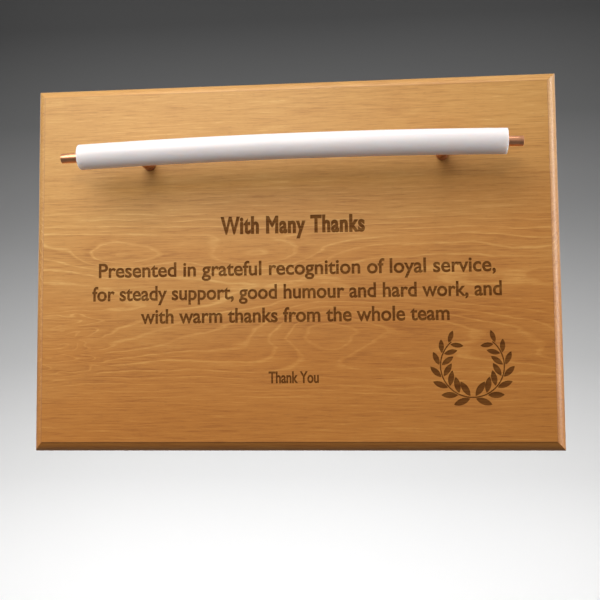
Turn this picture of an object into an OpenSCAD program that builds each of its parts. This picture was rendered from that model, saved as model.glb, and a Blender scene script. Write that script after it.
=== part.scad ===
// Award plaque: a moulded hardwood board with a length of cable held in front of it.
//
// Millimetres. +X runs along the board's width, +Z is up, and the front faces -Y.
// The origin is on the board's back, midway between the round entries of the two keyholes.

/* [Board] */
// Width of the board
board_w = 355; // [340:1:400]
// Height of the board
board_h = 250; // [230:1:290]
// Thickness of the board
board_t = 18; // [16:0.5:22]
// Width of the moulded edge, seen from the front
edge_w = 6.2; // [5:0.1:8]
// Small square step from the face down to the moulding
edge_step = 0.6; // [0.4:0.1:1.2]
// Depth behind the face at which the moulding meets the side
edge_drop = 7; // [5:0.5:8]
// Radius of the moulding's curve
edge_r = 12; // [10:0.5:16]
// Bevel round the back of the board
back_bevel = 1; // [0.5:0.5:2]

/* [Cable] */
// Length of the white covering
cover_len = 273; // [250:1:290]
// Distance of the covering's middle to the right of the board's middle
cable_shift = 2.3; // [-8:0.1:8]
// Diameter of the white covering
cover_d = 16.2; // [14:0.1:18]
// Length of conductor that stands out at the left end
left_stub = 12; // [5:0.5:15]
// Length of conductor that stands out at the right end
right_stub = 10; // [5:0.5:15]
// Outer diameter of the copper tube
copper_d = 6.3; // [6.3:0.1:8]
// Wall of the copper tube
copper_wall = 0.65; // [0.5:0.01:0.66]
// Radius of the cable's slight upward bow
bow_r = 4200; // [3000:10:9000]
// Slope of the cable, the left end lower
cable_slope = 0.45; // [0:0.01:1]
// Depth of the cable's middle below the board's top edge
cable_below_top = 53.8; // [45:0.1:65]
// Distance from the board's face to the cable's centre line
cable_reach = 33; // [28:1:38]

/* [Spacers and screws] */
// Distance between the two spacers
spacer_pitch = 198; // [160:1:220]
// Outer diameter of the spacer tubes
spacer_d = 8; // [7:0.5:10]
// Bore of the spacer tubes
spacer_bore = 5; // [4.5:0.1:5.5]
// Depth that a spacer is let into the board's face
spacer_seat = 3; // [2:0.5:4]
// Diameter of the long screws
long_screw_d = 4; // [3.5:0.5:4]
// Length of the long screws under the head
long_screw_len = 40; // [40:1:41]

/* [Wall hangers] */
// Distance between the two keyholes
hanger_pitch = 270; // [260:1:290]
// Height of the keyholes' round entries above the middle of the board
hanger_above_middle = 75; // [60:1:85]
// Length of a hanger plate
plate_len = 46; // [44:1:50]
// Width of a hanger plate
plate_w = 16; // [15:1:18]
// Thickness of a hanger plate
plate_t = 1.5; // [1.2:0.1:2]
// Diameter of the keyhole's round entry
entry_d = 9; // [8:0.5:10]
// Width of the keyhole's slot
slot_w = 4.6; // [4:0.1:5]
// Rise of the slot's top end above the round entry
slot_rise = 9; // [8:0.5:10]

/* [Pads] */
// Diameter of a bumper pad
pad_d = 12; // [10:1:16]
// Thickness of a bumper pad
pad_t = 2.5; // [2:0.5:4]
// Distance from the board's edges to a pad's centre
pad_inset = 18; // [12:1:25]

/* [Hidden] */

$fn = 64;
past = 1;                 // how far a cutter runs past the surface that it opens
gap = 0.02;               // clearance between pieces that fit closely
left = -1;
right = 1;

board_mid = -hanger_above_middle;         // height of the board's middle
face_y = -board_t;                        // the board's front face
top_z = board_mid + board_h / 2;

// The moulding's curve: an arc from the foot of the step out to the board's side.
edge_fall = edge_drop - edge_step;
edge_chord = sqrt(pow(edge_w, 2) + pow(edge_fall, 2));
edge_sag = sqrt(pow(edge_r, 2) - pow(edge_chord / 2, 2));
edge_centre = [edge_w / 2 - edge_fall / edge_chord * edge_sag,
               edge_step + edge_fall / 2 + edge_w / edge_chord * edge_sag];

cable_y = face_y - cable_reach;
cable_z = top_z - cable_below_top;
// Height of the cable's centre line, bowed and sloped, at a place along the width.
function cable_height(x) =
    cable_z - bow_r * cos(cable_slope)
    + sqrt(pow(bow_r, 2) - pow(x - cable_shift - bow_r * sin(cable_slope), 2));
bow_segments = 3600;      // steps in a full turn of the bow

cover_start = -cover_len / 2;              // places along the centre line, from its middle
cover_end = cover_len / 2;
core_start = cover_start - left_stub;
core_end = cover_end + right_stub;

copper_bore = copper_d - 2 * copper_wall;
fibre_tube_d = 1.5;
fibre_tube_bore = 1.1;
inner_wires = 8;
inner_wire_d = 0.88;
outer_wires = 16;
outer_wire_d = 0.79;
inner_ring = fibre_tube_d / 2 + gap + inner_wire_d / 2;
outer_ring = inner_ring + inner_wire_d / 2 + gap + outer_wire_d / 2;

cover_back_y = cable_y + cover_d / 2;
cover_seat = 1.2;                          // depth that a spacer is let into the covering
spacer_len = spacer_seat + cable_reach - cover_d / 2 + cover_seat;
washer_d = 10;
washer_t = 1;
counterbore_d = 12;
counterbore = 8;
screw_hole_d = 4.5;
seat_y = -counterbore + washer_t;          // underside of a long screw's head
long_head_d = 8;
long_head_h = 2.6;
long_thread = 16;
thread_pitch = 1.6;

recess_room = 0.4;                         // how much longer and wider a plate's recess is
pocket_w = 10.6;                           // pocket behind the keyhole, for the wall screw's head
pocket_depth = 8;
plate_mid = slot_rise / 2;                 // the plate's middle, above the round entry
plate_screw_pitch = plate_len - 12;
small_screw_d = 3;
small_screw_len = 12;
small_head_d = 5.6;

// ---------------------------------------------------------------- board

// What the moulding takes off one edge: x outward from the face's edge, y into the board.
module edge_cut() {
    difference() {
        translate([0, -past]) square([edge_w + past, edge_drop + 2 * past]);
        translate(edge_centre) circle(r = edge_r, $fn = 180);
    }
}

// Cross-section of the board over one span: x across, y from the face to the back.
module moulded_section(span) {
    difference() {
        translate([-span / 2, 0]) square([span, board_t]);
        for (side = [0, 1]) mirror([side, 0]) {
            translate([span / 2 - edge_w, 0]) edge_cut();
            polygon([[span / 2 - back_bevel, board_t], [span / 2, board_t - back_bevel],
                     [span / 2 + past, board_t - back_bevel], [span / 2 + past, board_t + past],
                     [span / 2 - back_bevel, board_t + past]]);
        }
    }
}

// A round bar along Y, from one depth to another.
module round_bar(d, from_y, to_y) {
    translate([0, to_y, 0]) rotate([90, 0, 0]) cylinder(d = d, h = to_y - from_y);
}

// An upright bar along Y with round ends, from one depth to another.
module long_bar(width, length, from_y, to_y) {
    reach = (length - width) / 2;
    for (end = [-1, 1]) translate([0, 0, end * reach]) round_bar(width, from_y, to_y);
    translate([-width / 2, from_y, -reach]) cube([width, to_y - from_y, 2 * reach]);
}

module cable_screw_hole() {
    round_bar(spacer_d + 2 * gap, face_y - past, face_y + spacer_seat);
    round_bar(screw_hole_d, face_y, 0);
    round_bar(counterbore_d, -counterbore, past);
}

module hanger_recess() {
    translate([0, 0, plate_mid]) {
        long_bar(plate_w + recess_room, plate_len + recess_room, -plate_t, past);
        long_bar(pocket_w, pocket_w + slot_rise, -pocket_depth, 0);
    }
    at_plate_screws() round_bar(small_screw_d + 2 * gap, -small_screw_len - 1, 0);
}

module board() {
    color([0.78, 0.54, 0.29]) difference() {
        translate([0, face_y, board_mid]) intersection() {
            linear_extrude(board_h, center = true) moulded_section(board_w);
            rotate([0, -90, 0]) linear_extrude(board_w, center = true) moulded_section(board_h);
        }
        for (side = [left, right]) {
            at_spacer(side) cable_screw_hole();
            at_hanger(side) hanger_recess();
        }
    }
}

// ---------------------------------------------------------------- cable

// Sweeps a flat shape along the cable's bowed centre line, from one place on it to another.
module along_cable(start, end) {
    degrees_per_mm = 180 / PI / bow_r;
    translate([cable_shift, cable_y, cable_z]) rotate([0, -cable_slope, 0])
        translate([0, 0, -bow_r]) rotate([90, 0, 0]) rotate([0, 0, 90 - end * degrees_per_mm])
            rotate_extrude(angle = (end - start) * degrees_per_mm, $fn = bow_segments)
                translate([bow_r, 0]) children();
}

// The same, over the whole conductor.
module along_core() {
    along_cable(core_start, core_end) children();
}

module tube_section(outer, bore) {
    difference() {
        circle(d = outer, $fn = 64);
        circle(d = bore, $fn = 64);
    }
}

module cable_insulation() {
    color([0.93, 0.92, 0.9]) difference() {
        along_cable(cover_start, cover_end) tube_section(cover_d, copper_d + 2 * gap);
        for (side = [left, right]) at_spacer(side) {
            round_bar(spacer_d + 2 * gap, cover_back_y - cover_seat, cover_back_y + past);
            round_bar(long_screw_d + 2 * gap, seat_y - long_screw_len - 0.3, cover_back_y);
        }
    }
}

module conductor_tube() {
    color([0.8, 0.47, 0.33]) along_core() tube_section(copper_d, copper_bore);
}

// One layer of strand wires, evenly spaced on a ring round the centre line.
module wire_layer(count, ring, wire_d) {
    for (i = [0 : count - 1])
        along_core() rotate(i * 360 / count) translate([ring, 0]) circle(d = wire_d, $fn = 24);
}

module strand_outer() {
    color([0.62, 0.63, 0.65]) wire_layer(outer_wires, outer_ring, outer_wire_d);
}

module strand_inner() {
    color([0.58, 0.59, 0.61]) wire_layer(inner_wires, inner_ring, inner_wire_d);
}

module fibre_tube() {
    color([0.7, 0.71, 0.73]) along_core() tube_section(fibre_tube_d, fibre_tube_bore);
}

module fibre_bundle() {
    color([0.75, 0.82, 0.86]) along_core() circle(d = fibre_tube_bore - 2 * gap, $fn = 32);
}

// ---------------------------------------------------------------- spacers and fasteners

module at_spacer(side) {
    x = cable_shift + side * spacer_pitch / 2;
    translate([x, 0, cable_height(x)]) children();
}

module spacer(side) {
    color([0.72, 0.43, 0.3]) at_spacer(side) difference() {
        round_bar(spacer_d, face_y + spacer_seat - spacer_len, face_y + spacer_seat);
        round_bar(spacer_bore, face_y - spacer_len, face_y + spacer_seat + past);
    }
}

// Two crossed slots for a cross-head driver, cut down from the head's top.
module cross_recess(size, depth) {
    for (turn = [0, 90])
        rotate(turn) translate([-size / 2, -0.4, -depth]) cube([size, 0.8, depth + past]);
}

// A pointed screw that hangs below z = 0, with its thread drawn as rings.
module screw_shank(d, length, thread_len) {
    core = d / 2 * 0.72;
    point = d;
    rings = floor((thread_len - point) / thread_pitch);
    start = -length + point + rings * thread_pitch;
    rotate_extrude() polygon(concat(
        [[0, 0], [core + 0.2, 0], [core + 0.2, start]],
        [for (i = [0 : rings - 1], corner = [[d / 2, 0.55], [core, 0.85]])
            [corner[0], start - (i + corner[1]) * thread_pitch + 0.4]],
        [[0, -length]]));
}

module cable_screw() {
    difference() {
        union() {
            screw_shank(long_screw_d, long_screw_len, long_thread);
            intersection() {
                cylinder(d = long_head_d, h = long_head_h);
                translate([0, 0, long_head_h - 6.5]) sphere(r = 6.5, $fn = 96);
            }
        }
        translate([0, 0, long_head_h]) cross_recess(4.6, 1.9);
    }
}

module cable_screws() {
    color([0.8, 0.8, 0.78]) for (side = [left, right])
        at_spacer(side) translate([0, seat_y, 0]) rotate([-90, 0, 0]) cable_screw();
}

module screw_washers() {
    color([0.75, 0.75, 0.74]) for (side = [left, right])
        at_spacer(side) difference() {
            round_bar(washer_d, -counterbore, -counterbore + washer_t);
            round_bar(screw_hole_d, -counterbore - past, past);
        }
}

module at_hanger(side) {
    translate([side * hanger_pitch / 2, 0, 0]) children();
}

module at_plate_screws() {
    for (end = [-1, 1])
        translate([0, 0, plate_mid + end * plate_screw_pitch / 2]) children();
}

// A cone under a countersunk head, wide end at the plate's outer face.
module countersink(extra) {
    rotate([-90, 0, 0]) translate([0, 0, -plate_t])
        cylinder(d1 = small_screw_d + 2 * extra, d2 = small_head_d + 2 * extra, h = plate_t);
}

module hanger(side) {
    color([0.73, 0.74, 0.76]) at_hanger(side) difference() {
        translate([0, 0, plate_mid]) long_bar(plate_w, plate_len, -plate_t, 0);
        round_bar(entry_d, -plate_t - past, past);
        translate([0, 0, slot_rise]) round_bar(slot_w, -plate_t - past, past);
        translate([-slot_w / 2, -plate_t - past, 0]) cube([slot_w, plate_t + 2 * past, slot_rise]);
        at_plate_screws() {
            countersink(gap);
            round_bar(small_screw_d + 2 * gap, -plate_t - past, past);
        }
    }
}

module small_screw() {
    difference() {
        union() {
            screw_shank(small_screw_d, small_screw_len, 8);
            translate([0, 0, -plate_t])
                cylinder(d1 = small_screw_d, d2 = small_head_d, h = plate_t);
        }
        cross_recess(3, 1.1);
    }
}

module hanger_screws() {
    color([0.8, 0.8, 0.78]) for (side = [left, right])
        at_hanger(side) at_plate_screws() rotate([-90, 0, 0]) small_screw();
}

// ---------------------------------------------------------------- pads

module pad(side, level) {
    edge = 0.8;
    color([0.2, 0.2, 0.21])
        translate([side * (board_w / 2 - pad_inset), 0,
                   board_mid + level * (board_h / 2 - pad_inset)])
            rotate([-90, 0, 0]) rotate_extrude() {
                square([pad_d / 2, pad_t - edge]);
                square([pad_d / 2 - edge, pad_t]);
                translate([pad_d / 2 - edge, pad_t - edge]) circle(r = edge, $fn = 32);
            }
}

module upper_left_pad() { pad(left, 1); }
module upper_right_pad() { pad(right, 1); }
module lower_left_pad() { pad(left, -1); }
module lower_right_pad() { pad(right, -1); }
module left_spacer() { spacer(left); }
module right_spacer() { spacer(right); }
module left_hanger() { hanger(left); }
module right_hanger() { hanger(right); }

board();
cable_insulation();
conductor_tube();
strand_outer();
strand_inner();
fibre_tube();
fibre_bundle();
left_spacer();
right_spacer();
cable_screws();
screw_washers();
left_hanger();
right_hanger();
hanger_screws();
upper_left_pad();
upper_right_pad();
lower_left_pad();
lower_right_pad();
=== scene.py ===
"""The looks of a hardwood award plaque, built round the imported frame.

The plaque is a moulded board with an engraved inscription and a short length of cable held off its
face on two copper spacers. Everything is in metres in the row's frame: +X along the board's width,
+Z up, and the front faces -Y.
"""

from __future__ import annotations

import logging
import math
from collections.abc import Callable, Iterable, Sequence
from dataclasses import dataclass, field
from enum import Enum

import bmesh
import bpy
from mathutils import Matrix, Quaternion, Vector


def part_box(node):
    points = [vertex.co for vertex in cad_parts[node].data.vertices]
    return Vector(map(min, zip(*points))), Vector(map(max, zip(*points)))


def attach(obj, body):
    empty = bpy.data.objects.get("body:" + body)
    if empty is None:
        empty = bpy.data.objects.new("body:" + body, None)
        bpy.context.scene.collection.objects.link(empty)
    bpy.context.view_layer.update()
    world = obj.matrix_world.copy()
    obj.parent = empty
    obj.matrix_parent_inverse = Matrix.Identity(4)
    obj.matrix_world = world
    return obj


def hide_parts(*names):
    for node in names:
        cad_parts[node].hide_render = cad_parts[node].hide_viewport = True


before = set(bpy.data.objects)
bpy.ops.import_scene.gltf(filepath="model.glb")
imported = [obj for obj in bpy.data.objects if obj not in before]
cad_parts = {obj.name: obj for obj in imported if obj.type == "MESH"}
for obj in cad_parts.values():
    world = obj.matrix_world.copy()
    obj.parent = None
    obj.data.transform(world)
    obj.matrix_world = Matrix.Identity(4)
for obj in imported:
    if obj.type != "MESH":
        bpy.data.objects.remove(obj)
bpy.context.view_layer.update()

MM = 0.001
TINY = 1e-6
MERGED = 1e-7
ROOT = "root"
LOG = logging.getLogger("plaque")
Colour = tuple[float, float, float]
Point = tuple[float, float, float]
Socket = bpy.types.NodeSocket
Material = bpy.types.Material


class Side(Enum):
    """Left or right, as seen from the front."""

    LEFT = -1
    RIGHT = 1

    @property
    def word(self) -> str:
        """The side's name, as the nodes' names have it."""
        return self.name.lower()


# ---------------------------------------------------------------- the bench: modelling with operators


def deselect_everything() -> None:
    """Leaves object mode active with nothing selected."""
    if bpy.context.object is not None and bpy.context.object.mode != "OBJECT":
        bpy.ops.object.mode_set(mode="OBJECT")
    bpy.ops.object.select_all(action="DESELECT")


class Workpiece:
    """A mesh on the bench: a primitive that is then shaped in edit mode."""

    def __init__(self, name: str) -> None:
        """Takes the object that a primitive operator has just added.

        Args:
            name: the piece's name from now on.
        """
        self.obj: bpy.types.Object = bpy.context.object
        self.obj.name = name
        self.obj.data.name = name
        self.settle()

    @classmethod
    def block(cls, name: str, low: Sequence[float], high: Sequence[float]) -> "Workpiece":
        """A rectangular block between two corners.

        Args:
            name: the piece's name.
            low: its lowest corner.
            high: its highest corner.

        Returns:
            The new piece.
        """
        deselect_everything()
        centre = [(a + b) / 2 for a, b in zip(low, high)]
        size = [b - a for a, b in zip(low, high)]
        bpy.ops.mesh.primitive_cube_add(size=1, location=centre, scale=size)
        return cls(name)

    @classmethod
    def disc(
        cls, name: str, centre: Sequence[float], radius: float, facing: Sequence[float], sides: int = 64
    ) -> "Workpiece":
        """A filled disc.

        Args:
            name: the piece's name.
            centre: where its middle is.
            radius: its radius.
            facing: the direction of its normal.
            sides: how many edges its rim has.

        Returns:
            The new piece.
        """
        deselect_everything()
        turn = Vector(facing).to_track_quat("Z", "Y").to_euler()
        bpy.ops.mesh.primitive_circle_add(
            vertices=sides, radius=radius, fill_type="NGON", location=centre, rotation=turn
        )
        return cls(name)

    @classmethod
    def rod(
        cls, name: str, start: Sequence[float], end: Sequence[float], radius: float, sides: int = 64
    ) -> "Workpiece":
        """A round rod between two points.

        Args:
            name: the piece's name.
            start: the middle of one end.
            end: the middle of the other end.
            radius: its radius.
            sides: how many sides it has.

        Returns:
            The new piece.
        """
        way = Vector(end) - Vector(start)
        piece = cls.disc(name, start, radius, way, sides)
        piece.edit_whole()
        piece.push(way)
        bpy.ops.mesh.select_all(action="SELECT")
        bpy.ops.mesh.normals_make_consistent(inside=False)
        piece.settle()
        return piece

    def take_up(self) -> None:
        """Leaves edit mode and makes this piece the active one, alone selected."""
        deselect_everything()
        self.obj.select_set(True)
        bpy.context.view_layer.objects.active = self.obj

    def settle(self) -> None:
        """Leaves edit mode and applies the object's place, turn and scale to its mesh."""
        self.take_up()
        bpy.ops.object.transform_apply(location=True, rotation=True, scale=True)

    def edit(self) -> None:
        """Enters edit mode with nothing of the mesh selected."""
        self.take_up()
        bpy.ops.object.mode_set(mode="EDIT")
        bpy.ops.mesh.select_mode(type="FACE")
        bpy.ops.mesh.select_all(action="DESELECT")

    def edit_whole(self) -> None:
        """Enters edit mode with the whole mesh selected."""
        self.edit()
        bpy.ops.mesh.select_all(action="SELECT")

    def pick_faces(self, wanted: Callable[[Vector, Vector], bool]) -> None:
        """Selects the faces that pass a test, and no others.

        Args:
            wanted: takes a face's centre and normal, and says whether it is wanted.
        """
        bpy.ops.mesh.select_mode(type="FACE")
        bpy.ops.mesh.select_all(action="DESELECT")
        mesh = bmesh.from_edit_mesh(self.obj.data)
        for face in mesh.faces:
            face.select_set(wanted(face.calc_center_median(), face.normal))
        bmesh.update_edit_mesh(self.obj.data)

    def pick_edges(self, wanted: Callable[[Vector, Vector], bool]) -> None:
        """Selects the edges that pass a test, and no others.

        Args:
            wanted: takes an edge's two ends, and says whether it is wanted.
        """
        bpy.ops.mesh.select_mode(type="EDGE")
        bpy.ops.mesh.select_all(action="DESELECT")
        mesh = bmesh.from_edit_mesh(self.obj.data)
        for edge in mesh.edges:
            edge.select_set(wanted(edge.verts[0].co, edge.verts[1].co))
        bmesh.update_edit_mesh(self.obj.data)

    def push(self, offset: Sequence[float]) -> None:
        """Extrudes what is selected.

        Args:
            offset: how far, and which way.
        """
        bpy.ops.mesh.extrude_region_move(TRANSFORM_OT_translate={"value": tuple(offset)})

    def resize(self, factor: float, about: Sequence[float]) -> None:
        """Scales what is selected about a point.

        Args:
            factor: the new size over the old one.
            about: the point that stays.
        """
        bpy.ops.transform.resize(value=(factor, factor, factor), center_override=tuple(about))

    def flatten(self, y: float) -> None:
        """Brings everything that is selected to one distance along Y.

        Args:
            y: the distance.
        """
        bpy.ops.transform.resize(value=(1, 0, 1), center_override=(0, y, 0))

    def inset(self, width: float, depth: float = 0.0) -> None:
        """Insets the selected faces.

        Args:
            width: width of the new rim.
            depth: how far the inner faces rise.
        """
        bpy.ops.mesh.inset(thickness=width, depth=depth)

    def bevel(self, width: float, segments: int) -> None:
        """Bevels the selected edges.

        Args:
            width: the bevel's width.
            segments: how many steps round it off.
        """
        bpy.ops.mesh.bevel(offset=width, segments=segments, affect="EDGES")

    def open_middle(self, rim: float) -> None:
        """Turns the selected disc into a flat ring.

        Args:
            rim: the ring's width.
        """
        self.inset(rim)
        bpy.ops.mesh.delete(type="FACE")
        bpy.ops.mesh.select_all(action="SELECT")

    def tidy(self) -> None:
        """Merges doubles and turns every face outwards, then leaves edit mode."""
        bpy.ops.mesh.select_all(action="SELECT")
        bpy.ops.mesh.remove_doubles(threshold=MERGED)
        bpy.ops.mesh.normals_make_consistent(inside=False)
        self.settle()

    def cut(self, tool: "Workpiece", crossing: bool = False) -> None:
        """Cuts another piece's shape out of this one, and removes that piece.

        Args:
            tool: the cutter. Its materials go to the walls that it leaves.
            crossing: whether parts of the cutter run into one another.
        """
        self.settle()
        change = self.obj.modifiers.new("cut", "BOOLEAN")
        change.operation = "DIFFERENCE"
        change.solver = "EXACT"
        change.material_mode = "TRANSFER"
        change.use_self = crossing
        change.object = tool.obj
        bpy.ops.object.modifier_apply(modifier=change.name)
        bpy.data.objects.remove(tool.obj)

    def absorb(self, others: Iterable["Workpiece"]) -> None:
        """Joins other pieces into this one.

        Args:
            others: the pieces, which are then gone.
        """
        self.take_up()
        for other in others:
            other.obj.select_set(True)
        bpy.ops.object.join()

    def copy(self, name: str, placed: Matrix) -> "Workpiece":
        """A copy with its own mesh, put somewhere else.

        Args:
            name: the copy's name.
            placed: the transform from this piece to the copy.

        Returns:
            The copy.
        """
        twin = self.obj.copy()
        twin.data = self.obj.data.copy()
        bpy.context.scene.collection.objects.link(twin)
        deselect_everything()
        twin.select_set(True)
        bpy.context.view_layer.objects.active = twin
        twin.matrix_world = placed
        return Workpiece(name)

    def paint(self, material: Material) -> None:
        """Gives the whole piece one material.

        Args:
            material: the finish.
        """
        self.obj.data.materials.clear()
        self.obj.data.materials.append(material)

    def smooth(self, angle: float = 35.0) -> None:
        """Shades smooth over edges that turn less than an angle.

        Args:
            angle: the sharpest smooth edge, in degrees.
        """
        self.take_up()
        bpy.ops.object.shade_smooth_by_angle(angle=math.radians(angle))

    def flat_faces(self) -> None:
        """Shades the faces that look straight forwards or back as flat, so that cuts don't bend them."""
        self.edit()
        self.pick_faces(lambda centre, normal: abs(normal.y) > 0.999)
        bpy.ops.mesh.faces_shade_flat()
        self.settle()

    def hand_over(self, slot: str, node: str) -> None:
        """Puts the finished piece in the frame, in place of the CAD node that it stands for.

        Args:
            slot: the record's material slot. Not used.
            node: the CAD node that it replaces.
        """
        self.settle()
        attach(self.obj, ROOT)
        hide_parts(node)
        LOG.info("%s: %d faces", self.obj.name, len(self.obj.data.polygons))

    def deliver(self, material: Material, slot: str, node: str, angle: float = 35.0) -> None:
        """Paints the piece, shades it smooth and hands it over.

        Args:
            material: the finish.
            slot: the record's material slot.
            node: the CAD node that it replaces.
            angle: the sharpest smooth edge, in degrees.
        """
        self.paint(material)
        self.smooth(angle)
        self.hand_over(slot, node)


# ---------------------------------------------------------------- finishes


class Shader:
    """Writes one node material, in millimetres measured from a chosen origin."""

    def __init__(self, name: str, origin: Sequence[float] = (0, 0, 0)) -> None:
        """Starts a material with a Principled shader.

        Args:
            name: the material's name.
            origin: the point in the row's frame, in metres, that the pattern is measured from.
        """
        self.material = bpy.data.materials.new(name)
        self.material.use_nodes = True
        self.nodes = self.material.node_tree.nodes
        self.links = self.material.node_tree.links
        self.principled = self.nodes["Principled BSDF"]
        place = self.nodes.new("ShaderNodeTexCoord").outputs["Object"]
        self.place = self.stretch(place, (1 / MM,) * 3, [-c / MM for c in origin])

    def link(self, source: object, socket: Socket) -> None:
        """Feeds a socket from another socket, or with a plain value.

        Args:
            source: a socket, a number or a colour.
            socket: the socket that takes it.
        """
        if isinstance(source, Socket):
            self.links.new(source, socket)
        elif isinstance(source, (int, float)):
            socket.default_value = source
        elif len(source) == 3 and socket.type == "RGBA":
            socket.default_value = (*source, 1.0)
        else:
            socket.default_value = source

    def stretch(
        self, source: Socket, scale: Sequence[float], shift: Sequence[float] = (0, 0, 0)
    ) -> Socket:
        """Scales and then shifts a set of coordinates.

        Args:
            source: the coordinates.
            scale: the factor for each axis.
            shift: what is added to each axis after it is scaled.

        Returns:
            The new coordinates.
        """
        node = self.nodes.new("ShaderNodeMapping")
        self.links.new(source, node.inputs["Vector"])
        node.inputs["Scale"].default_value = scale
        node.inputs["Location"].default_value = shift
        return node.outputs["Vector"]

    def along(self, grain: Sequence[float]) -> Socket:
        """The piece's own coordinates, divided by a length for each axis.

        Args:
            grain: the length of one pattern unit along each axis, in millimetres.

        Returns:
            The coordinates.
        """
        return self.stretch(self.place, [1 / g for g in grain])

    def math(self, operation: str, *values: object, clamp: bool = False) -> Socket:
        """One Math node.

        Args:
            operation: the node's operation, such as "MULTIPLY".
            values: its inputs, as sockets or numbers.
            clamp: whether the result is kept between 0 and 1.

        Returns:
            The result.
        """
        node = self.nodes.new("ShaderNodeMath")
        node.operation = operation
        node.use_clamp = clamp
        for value, socket in zip(values, node.inputs):
            self.link(value, socket)
        return node.outputs["Value"]

    def total(self, *terms: object) -> Socket:
        """The sum of several values.

        Args:
            terms: sockets or numbers.

        Returns:
            Their sum.
        """
        result = terms[0]
        for term in terms[1:]:
            result = self.math("ADD", result, term)
        return result

    def times(self, *factors: object) -> Socket:
        """The product of several values.

        Args:
            factors: sockets or numbers.

        Returns:
            Their product.
        """
        result = factors[0]
        for factor in factors[1:]:
            result = self.math("MULTIPLY", result, factor)
        return result

    def minus(self, value: object, taken: object) -> Socket:
        """One value less another.

        Args:
            value: a socket or a number.
            taken: what is taken from it.

        Returns:
            The difference.
        """
        return self.math("SUBTRACT", value, taken)

    def size(self, value: Socket) -> Socket:
        """A value without its sign.

        Args:
            value: the value.

        Returns:
            Its size.
        """
        return self.math("ABSOLUTE", value)

    def noise(
        self, grain: Sequence[float], detail: float = 2.0, rough: float = 0.5, bend: float = 0.0
    ) -> Socket:
        """Noise from 0 to 1, stretched along the axes.

        Args:
            grain: the size of its features along each axis, in millimetres.
            detail: how many finer layers it has.
            rough: the strength of the finer layers.
            bend: how far it is distorted.

        Returns:
            The noise.
        """
        node = self.nodes.new("ShaderNodeTexNoise")
        self.links.new(self.along(grain), node.inputs["Vector"])
        node.inputs["Scale"].default_value = 1.0
        node.inputs["Detail"].default_value = detail
        node.inputs["Roughness"].default_value = rough
        node.inputs["Distortion"].default_value = bend
        return node.outputs["Fac"]

    def swing(self, source: Socket, reach: float) -> Socket:
        """Turns noise from 0 to 1 into a value that swings either side of 0.

        Args:
            source: the noise.
            reach: the size of the swing.

        Returns:
            The swinging value.
        """
        return self.times(self.minus(source, 0.5), 2 * reach)

    def between(
        self, source: Socket, low: float, high: float, to_low: float = 0.0, to_high: float = 1.0
    ) -> Socket:
        """A smooth step from one level to another.

        Args:
            source: the value that drives it.
            low: the value at which the step begins.
            high: the value at which it ends.
            to_low: the result before the step.
            to_high: the result after it.

        Returns:
            The stepped value.
        """
        node = self.nodes.new("ShaderNodeMapRange")
        node.interpolation_type = "SMOOTHSTEP"
        self.links.new(source, node.inputs["Value"])
        names = ("From Min", "From Max", "To Min", "To Max")
        for name, value in zip(names, (low, high, to_low, to_high)):
            node.inputs[name].default_value = value
        return node.outputs["Result"]

    def mix(self, share: object, first: object, second: object, how: str = "MIX") -> Socket:
        """Mixes two colours.

        Args:
            share: how much of the second colour shows.
            first: a colour or a socket.
            second: a colour or a socket.
            how: the blend type.

        Returns:
            The mixed colour.
        """
        node = self.nodes.new("ShaderNodeMix")
        node.data_type = "RGBA"
        node.blend_type = how
        self.link(share, node.inputs[0])
        self.link(first, node.inputs[6])
        self.link(second, node.inputs[7])
        return node.outputs[2]

    def ramp(
        self, source: Socket, stops: Sequence[tuple[float, float]], how: str = "EASE"
    ) -> Socket:
        """A value that follows a smooth curve through stops.

        Args:
            source: the value that drives it, from 0 to 1.
            stops: pairs of place and height.
            how: the curve's kind.

        Returns:
            The curve's height.
        """
        node = self.nodes.new("ShaderNodeValToRGB")
        node.color_ramp.interpolation = how
        self.links.new(source, node.inputs["Fac"])
        elements = node.color_ramp.elements
        while len(elements) < len(stops):
            elements.new(0.5)
        for element, (at, height) in zip(elements, stops):
            element.position = at
            element.color = (height, height, height, 1.0)
        return node.outputs["Color"]

    def axis(self, name: str) -> Socket:
        """One coordinate of the piece, in millimetres.

        Args:
            name: "X", "Y" or "Z".

        Returns:
            The coordinate.
        """
        node = self.nodes.new("ShaderNodeSeparateXYZ")
        self.links.new(self.place, node.inputs["Vector"])
        return node.outputs[name]

    def bump(self, height: object, depth_mm: float, strength: float = 1.0) -> None:
        """Raises and lowers the surface's shading.

        Args:
            height: the height, from 0 to 1.
            depth_mm: what 1 stands for, in millimetres.
            strength: the share of the effect that shows.
        """
        node = self.nodes.new("ShaderNodeBump")
        node.inputs["Strength"].default_value = strength
        node.inputs["Distance"].default_value = depth_mm * MM
        self.link(height, node.inputs["Height"])
        self.links.new(node.outputs["Normal"], self.principled.inputs["Normal"])

    def dress(self, **sockets: object) -> Material:
        """Sets the Principled shader's inputs.

        Args:
            sockets: values or sockets by input name, with _ for each space.

        Returns:
            The finished material.
        """
        for name, value in sockets.items():
            self.link(value, self.principled.inputs[name.replace("_", " ")])
        return self.material


@dataclass(frozen=True)
class Swelling:
    """A place where the growth rings bulge, so that the cut face shows closed loops round it."""

    x: float
    z: float
    reach_x: float
    reach_z: float
    height: float


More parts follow.
